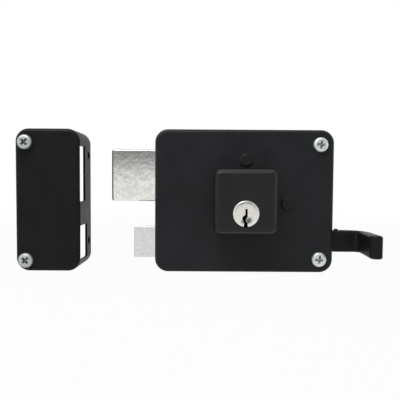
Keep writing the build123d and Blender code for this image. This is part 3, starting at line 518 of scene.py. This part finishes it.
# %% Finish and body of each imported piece
record = frame["record"]
slot_of = {entry["node"]: entry["material_slot"] for entry in record["subparts"]}
body_of = {node: body for body, members in record["behaviour"]["bodies"].items() for node in members}
for name, node in nodes.items():
    node.data.materials.clear()
    node.data.materials.append(finishes[slot_of[name]])
own_finishes = {"latch_bolt": "latch_zinc", "strike_screws": "dull_zinc"}
print("finishes:", len(finishes), "bodies:", sorted(set(body_of.values())))


def dress(piece, node):
    """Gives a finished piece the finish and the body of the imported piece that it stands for."""
    piece.data.materials.clear()
    piece.data.materials.append(finishes[own_finishes.get(node, slot_of[node])])
    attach(piece, body_of[node])
    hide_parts(node)


# %% [markdown]
# ## Rounded edges
#
# No real edge is a knife edge: shears leave a burr that is brushed off, enamel draws back from a
# corner, and a plated bolt is tumbled before plating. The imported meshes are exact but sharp, and
# come as loose triangles. A copy of each is merged, its flat triangles are joined into whole faces,
# and every sharp edge gets a round as wide as its way of making leaves. Weighted normals then keep
# the flats flat. The narrow new faces are marked, so that a finish can wear there.

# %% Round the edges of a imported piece
merge_distance = 0.001 * MM
flat_angle = radians(0.5)
round_angle = radians(30)
crease_angle = radians(50)


def smooth(mesh):
    """Shades a mesh smooth except over its sharp edges."""
    mesh.shade_smooth()
    mesh.set_sharp_from_angle(angle=crease_angle)


def rounded_copy(node, width):
    """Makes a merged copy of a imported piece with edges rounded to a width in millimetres."""
    shape = bmesh.new()
    shape.from_mesh(nodes[node].data)
    bmesh.ops.remove_doubles(shape, verts=shape.verts, dist=merge_distance)
    bmesh.ops.dissolve_limit(
        shape, angle_limit=flat_angle, verts=shape.verts, edges=shape.edges
    )
    worn = shape.faces.layers.float.new("edge_wear")
    closed = [edge for edge in shape.edges if edge.is_manifold]
    sharp = [edge for edge in closed if edge.calc_face_angle() > round_angle]
    rounds = bmesh.ops.bevel(
        shape,
        geom=sharp,
        offset=width * MM,
        offset_type="OFFSET",
        segments=2,
        profile=0.5,
        affect="EDGES",
        clamp_overlap=False,
    )
    for face in rounds["faces"]:
        face[worn] = 1.0
    mesh = bpy.data.meshes.new(node + "_finished")
    shape.to_mesh(mesh)
    shape.free()
    smooth(mesh)
    piece = bpy.data.objects.new(node + "_finished", mesh)
    bpy.context.scene.collection.objects.link(piece)
    weighted = piece.modifiers.new("weighted_normals", "WEIGHTED_NORMAL")
    weighted.keep_sharp = True
    evaluated = piece.evaluated_get(bpy.context.evaluated_depsgraph_get())
    piece.data = bpy.data.meshes.new_from_object(evaluated)
    piece.modifiers.clear()
    dress(piece, node)
    return piece


print("loose triangles in the packed case:", len(nodes["case_shell"].data.polygons))

# %% [markdown]
# Pressed sheet keeps a round of about a fifth of its thickness. The bolts, the block and the handle
# are handled every day, so theirs are wider. Turned brass and small hidden parts are only deburred.

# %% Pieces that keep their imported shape
round_widths = {
    "case_shell": 0.2,
    "strike_box": 0.2,
    "cylinder_housing": 0.25,
    "bolt_guide_stud": 0.12,
    "latch_guide_stud": 0.12,
    "pull_handle": 0.3,
    "handle_pin": 0.15,
    "deadbolt": 0.12,
    "latch_bolt": 0.15,
    "plug": 0.08,
    "back_plate": 0.12,
    "case_screw_posts": 0.12,
    "strike_base_plate": 0.12,
    "strike_posts": 0.12,
    "hub_bridge": 0.12,
    "bridge_post": 0.15,
    "spring_bracket": 0.15,
    "spring_guide_pin": 0.1,
    "deadbolt_rack_plate": 0.1,
    "latch_slide_plate": 0.15,
    "cylinder_body": 0.05,
    "pin_chamber_cover": 0.05,
    "key_pins": 0.08,
    "hub_bush": 0.1,
    "hub_pinion": 0.1,
    "tailpiece": 0.1,
    "plug_clip": 0.08,
}
finished = {node: rounded_copy(node, width) for node, width in round_widths.items()}
for node, piece in finished.items():
    print(node, len(piece.data.polygons), "faces")

# %% [markdown]
# ## Screws, rivets, pins and springs with Geometry Nodes
#
# Turned and headed pieces share one rule: a half outline is swept round an axis. So the half outline
# is the start mesh, and a tree sweeps it along a circle, as a lathe would, and sets a row of copies
# where the model has them. Its inputs are named for the sizes that differ from row to row.

# %% Helpers for trees
def new_tree(name, sizes):
    """Starts a Geometry Nodes tree with named inputs, and returns it with the inputs' sockets."""
    tree = bpy.data.node_groups.new(name, "GeometryNodeTree")
    for way in ("INPUT", "OUTPUT"):
        tree.interface.new_socket("Geometry", in_out=way, socket_type="NodeSocketGeometry")
    for size, kind in sizes.items():
        tree.interface.new_socket(size, in_out="INPUT", socket_type="NodeSocket" + kind)
    return tree, add(tree, "NodeGroupInput").outputs


row_sizes = {"Count": "Int", "First": "Vector", "Step": "Vector", "Turn": "Vector"}
row_sizes["Finish"] = "Material"
round_steps = 48


def end_with_row(tree, sizes, geometry):
    """Sets copies in a row, makes them real, gives them their finish and ends the tree."""
    places = {"Count": sizes["Count"], "Start Location": sizes["First"], "Offset": sizes["Step"]}
    row = add(tree, "GeometryNodeMeshLine", {"mode": "OFFSET"}, places)
    copies = {"Points": row.outputs[0], "Instance": geometry, "Rotation": sizes["Turn"]}
    placed = add(tree, "GeometryNodeInstanceOnPoints", None, copies)
    real = add(tree, "GeometryNodeRealizeInstances", None, {0: placed.outputs[0]})
    finish = {"Geometry": real.outputs[0], "Material": sizes["Finish"]}
    done = add(tree, "GeometryNodeSetMaterial", None, finish)
    add(tree, "NodeGroupOutput", None, {0: done.outputs[0]})


def sweep_round(tree, outline):
    """Sweeps a half outline, drawn as radius and height, round an axis."""
    curve = add(tree, "GeometryNodeMeshToCurve", None, {0: outline})
    moved = add(tree, "GeometryNodeTransform", {"Translation": (-MM, 0, 0)}, {0: curve.outputs[0]})
    circle = {"Resolution": round_steps, "Radius": MM}
    circle = add(tree, "GeometryNodeCurvePrimitiveCircle", circle)
    turning = {"Curve": circle.outputs[0], "Profile Curve": moved.outputs[0]}
    swept = add(tree, "GeometryNodeCurveToMesh", None, turning)
    merge = {"Distance": merge_distance}
    return add(tree, "GeometryNodeMergeByDistance", merge, {0: swept.outputs[0]}).outputs[0]


print("each row of copies takes:", sorted(row_sizes))

# %% [markdown]
# A start mesh carries the half outline, so the same tree serves outlines of any kind. What comes out
# of the tree becomes a plain mesh, is merged and shaded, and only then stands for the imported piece.
# Rows of two, such as the screws at two corners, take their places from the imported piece's box.

# %% Outlines, rows and the step from a tree to a mesh
def half_outline(points):
    """Draws points, given as radius and height in millimetres, as an open line."""
    mesh = bpy.data.meshes.new("half_outline")
    runs = [(n, n + 1) for n in range(len(points) - 1)]
    mesh.from_pydata([(r * MM, h * MM, 0) for r, h in points], runs, [])
    return mesh


def arc(middle, radius, first, last, steps=6):
    """Lists points along an arc between two angles in degrees."""
    angles = [radians(first + (last - first) * n / steps) for n in range(steps + 1)]
    return [(middle[0] + radius * cos(a), middle[1] + radius * sin(a)) for a in angles]


def grow(node, mesh, tree, **values):
    """Runs a tree on a start mesh and turns the result into a plain mesh that stands for a node."""
    piece = bpy.data.objects.new(node + "_finished", mesh)
    bpy.context.scene.collection.objects.link(piece)
    modifier = piece.modifiers.new(tree.name, "NODES")
    modifier.node_group = tree
    inputs = [item for item in tree.interface.items_tree if item.in_out == "INPUT"]
    sockets = {item.name: item.identifier for item in inputs}
    values["Finish"] = finishes[slot_of[node]]
    for key, value in values.items():
        modifier[sockets[key.replace("_", " ")]] = value
    evaluated = piece.evaluated_get(bpy.context.evaluated_depsgraph_get())
    result = bpy.data.meshes.new_from_object(evaluated)
    piece.modifiers.clear()
    piece.data = result
    shape = bmesh.new()
    shape.from_mesh(result)
    bmesh.ops.remove_doubles(shape, verts=shape.verts, dist=merge_distance)
    bmesh.ops.recalc_face_normals(shape, faces=shape.faces)
    shape.to_mesh(result)
    shape.free()
    smooth(result)
    dress(piece, node)
    print(node, len(result.polygons), "faces")
    return piece


def row_of(node, radius, height, facing=-1):
    """Places a row of two along the longer side of a node's box, at a height in millimetres."""
    low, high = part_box(node)
    across = (low.x + radius * MM, high.x - radius * MM)
    up = (low.z + radius * MM, high.z - radius * MM)
    first = (across[0], -height * MM, up[0])
    step = (across[1] - across[0], 0, up[1] - up[0])
    return {"Count": 2, "First": first, "Step": step, "Turn": (facing * pi / 2, 0, 0)}


print("points in a quarter round:", len(arc((0, 0), 1, 0, 90)))

# %% [markdown]
# The case and strike screws are cross recessed pan heads under pale zinc plate. The head is a flat
# dome, the recess tapers as it goes down, and the thread is a ridge that winds round the shank. The
# recess is cut by a Boolean node with two crossed blunt wedges: each is a four sided cone, turned so
# that its sides face the axes, and stretched to the recess's length and width. The thread is a
# spiral curve with a small diamond swept along it. Modelling it costs little, and a bump would
# vanish from the exported mesh.

# %% Screw tree
screw_tree, sizes = new_tree(
    "cross_recessed_screw",
    {
        "Recess Length": "Float",
        "Recess Width": "Float",
        "Recess Depth": "Float",
        "Head Height": "Float",
        "Cross Turn": "Vector",
        "Thread Radius": "Float",
        "Thread Start": "Vector",
        "Thread Length": "Float",
        "Thread Turns": "Float",
        "Ridge": "Float",
        **row_sizes,
    },
)
body = sweep_round(screw_tree, sizes["Geometry"])
unit_square = 0.7071
wedge_tip = 0.30
wedge = {"Vertices": 4, "Radius Top": wedge_tip, "Radius Bottom": unit_square, "Depth": 1.0}
wedge = add(screw_tree, "GeometryNodeMeshCone", wedge)
turned = {"Rotation": (0, 0, pi / 4)}
square = add(screw_tree, "GeometryNodeTransform", turned, {0: wedge.outputs[0]})
crossed = add(screw_tree, "GeometryNodeMeshBoolean", {"operation": "UNION", "solver": "EXACT"})
for length, width in (("Recess Length", "Recess Width"), ("Recess Width", "Recess Length")):
    shape = {"X": sizes[length], "Y": sizes[width], "Z": sizes["Recess Depth"]}
    shape = add(screw_tree, "ShaderNodeCombineXYZ", None, shape)
    wing = {0: square.outputs[0], "Scale": shape.outputs[0]}
    wing = add(screw_tree, "GeometryNodeTransform", None, wing)
    screw_tree.links.new(wing.outputs[0], crossed.inputs["Mesh 2"])
top = add(screw_tree, "ShaderNodeMath", {"operation": "MULTIPLY", 1: -1.0}, {0: sizes["Head Height"]})
top = add(screw_tree, "ShaderNodeCombineXYZ", None, {"Z": top.outputs[0]})
cutter = {"Translation": top.outputs[0], "Rotation": sizes["Cross Turn"], 0: crossed.outputs[0]}
cutter = add(screw_tree, "GeometryNodeTransform", None, cutter)
cut = {"Mesh 1": body, "Mesh 2": cutter.outputs[0]}
difference = {"operation": "DIFFERENCE", "solver": "EXACT"}
recessed = add(screw_tree, "GeometryNodeMeshBoolean", difference, cut)
wind = {
    "Rotations": sizes["Thread Turns"],
    "Start Radius": sizes["Thread Radius"],
    "End Radius": sizes["Thread Radius"],
    "Height": sizes["Thread Length"],
}
turn_steps = 24
helix = add(screw_tree, "GeometryNodeCurveSpiral", {"Resolution": turn_steps}, wind)
diamond = {"Resolution": 4}
ridge = {"Radius": sizes["Ridge"]}
ridge = add(screw_tree, "GeometryNodeCurvePrimitiveCircle", diamond, ridge)
thread = {"Curve": helix.outputs[0], "Profile Curve": ridge.outputs[0]}
thread = add(screw_tree, "GeometryNodeCurveToMesh", {"Fill Caps": True}, thread)
thread = {0: thread.outputs[0], "Translation": sizes["Thread Start"]}
thread = add(screw_tree, "GeometryNodeTransform", None, thread)
whole = add(screw_tree, "GeometryNodeJoinGeometry")
screw_tree.links.new(recessed.outputs[0], whole.inputs[0])
screw_tree.links.new(thread.outputs[0], whole.inputs[0])
end_with_row(screw_tree, sizes, whole.outputs[0])
print("screw tree:", len(screw_tree.nodes), "nodes")

# %% [markdown]
# A half outline in these trees is drawn as radius and height, and comes out of the sweep with its
# heights pointing down. A quarter turn then lays every screw along Y, with its head to the room,
# and the other quarter turn gives the screws that are driven from inside the case.

# %% Screws
shank_radius = 2.0
thread_depth = 0.3
thread_pitch = 0.8
point = 0.8


def screw_outline(head, head_height, rounding, shank, length):
    """Draws a pan head and a shank with a pointed end."""
    dome = arc((head - rounding, head_height - rounding), rounding, 0, 90)
    stem = [(0, -length), (shank - point, -length), (shank, point - length), (shank, 0), (head, 0)]
    return half_outline(stem + dome + [(0, head_height)])


def screws(node, kind, height, cross_turn, facing=-1):
    """Makes a row of screws of one kind, whose heads rest at a height, turned by some degrees."""
    head, head_height, rounding, length, recess = kind
    core = shank_radius - thread_depth
    threaded = length - 2 * thread_pitch
    return grow(
        node,
        screw_outline(head, head_height, rounding, core, length),
        screw_tree,
        Recess_Length=recess[0] * MM,
        Recess_Width=recess[1] * MM,
        Recess_Depth=2 * recess[2] * MM,
        Head_Height=head_height * MM,
        Cross_Turn=(0, 0, radians(cross_turn)),
        Thread_Radius=core * MM,
        Thread_Start=(0, 0, thread_pitch * MM),
        Thread_Length=threaded * MM,
        Thread_Turns=threaded / thread_pitch,
        Ridge=thread_depth * MM,
        **row_of(node, head, height, facing),
    )


# a kind of screw: head radius, head height, rounding, length, and the recess's three sizes
pan_screw = (4.0, 2.4, 1.5, 11.0, (4.6, 1.3, 0.8))
flat_screw = (3.4, 1.5, 0.6, 9.0, (3.6, 1.15, 0.8))
case_front = -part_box("case_shell")[0].y / MM
inner_seat = -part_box("housing_screws")[1].y / MM + flat_screw[1]
screws("case_screws", pan_screw, case_front, cross_turn=5)
screws("strike_screws", pan_screw, case_front, cross_turn=45)
screws("housing_screws", flat_screw, inner_seat, cross_turn=18, facing=1)

# %% [markdown]
# Rivets join the bolts to their plates. Each is a plain pin whose ends are peened over and filed
# nearly flush, which leaves a shallow rounded rim. Driver pins are turned the same way, so one tree
# serves both, and only the outline and the row differ. The driver pins stand in a row along Y, and a
# half turn points their heights up.

# %% Rivets and driver pins
turned_tree, sizes = new_tree("turned_row", row_sizes)
end_with_row(turned_tree, sizes, sweep_round(turned_tree, sizes["Geometry"]))
pin_steps = 4
rivet_rounding = 0.3
pin_rounding = 0.25


def pin_outline(radius, length, rounding):
    """Draws a pin from 0 to its length, with rounded ends."""
    foot = arc((radius - rounding, rounding), rounding, -90, 0, pin_steps)
    head = arc((radius - rounding, length - rounding), rounding, 0, 90, pin_steps)
    return half_outline([(0, 0)] + foot + head + [(0, length)])


for node, radius in (("deadbolt_rivets", 2.0), ("latch_rivets", 1.5)):
    low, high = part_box(node)
    rivet = pin_outline(radius, (high.y - low.y) / MM, rivet_rounding)
    grow(node, rivet, turned_tree, **row_of(node, radius, -high.y / MM))

pin_radius = 1.45
pin_count = 5
low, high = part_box("driver_pins")
pin_step = (high.y - low.y - 2 * pin_radius * MM) / (pin_count - 1)
pin_row = {"Count": pin_count, "Step": (0, pin_step, 0), "Turn": (pi, 0, 0)}
first_pin = (0, low.y + pin_radius * MM, low.z)
pin = pin_outline(pin_radius, (high.z - low.z) / MM, pin_rounding)
grow("driver_pins", pin, turned_tree, First=first_pin, **pin_row)

# %% [markdown]
# ## Springs
#
# A compression spring is a wire wound on a rod: a helix whose height is its length. The latch spring
# pushes the latch bolt out and is squeezed as the handle is pulled. It rides with the latch, and is
# given a mesh of its own.
# Five short springs press on the cylinder's pins.

# %% Springs
coil_sizes = {size: "Float" for size in ("Turns", "Coil Radius", "Length", "Wire Radius")}
coil_tree, sizes = new_tree("coil_spring", {**coil_sizes, **row_sizes})
wind = {
    "Rotations": sizes["Turns"],
    "Start Radius": sizes["Coil Radius"],
    "End Radius": sizes["Coil Radius"],
    "Height": sizes["Length"],
}
helix = add(coil_tree, "GeometryNodeCurveSpiral", {"Resolution": turn_steps}, wind)
round_wire = {"Resolution": 10}
wire = {"Radius": sizes["Wire Radius"]}
wire = add(coil_tree, "GeometryNodeCurvePrimitiveCircle", round_wire, wire)
coil = {"Curve": helix.outputs[0], "Profile Curve": wire.outputs[0]}
coil = add(coil_tree, "GeometryNodeCurveToMesh", {"Fill Caps": True}, coil)
end_with_row(coil_tree, sizes, coil.outputs[0])


def springs(node, radius, wire_radius, pitch, length, row):
    """Winds a row of springs with a given outer radius, in millimetres."""
    wound = length - 2 * wire_radius
    return grow(
        node,
        half_outline([(0, 0), (1, 0)]),
        coil_tree,
        Turns=wound / pitch,
        Coil_Radius=(radius - wire_radius) * MM,
        Length=wound * MM,
        Wire_Radius=wire_radius * MM,
        **row,
    )


low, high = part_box("latch_spring")
latch_wire, latch_coil, latch_pitch = 0.35, 3.0, 2.3
rest_length = high.x - low.x
axis = (low + high) / 2
start = (low.x + latch_wire * MM, axis.y, axis.z)
row = {"Count": 1, "First": start, "Step": (0, 0, 0), "Turn": (0, pi / 2, 0)}
coil = springs("latch_spring", latch_coil, latch_wire, latch_pitch, rest_length / MM, row)
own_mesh(coil)

low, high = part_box("pin_springs")
thin_wire, thin_coil, thin_pitch = 0.2, 1.3, 0.8
start = (0, low.y + thin_coil * MM, low.z + thin_wire * MM)
row = {"Count": pin_count, "First": start, "Step": (0, pin_step, 0), "Turn": (0, 0, 0)}
springs("pin_springs", thin_coil, thin_wire, thin_pitch, (high.z - low.z) / MM, row)
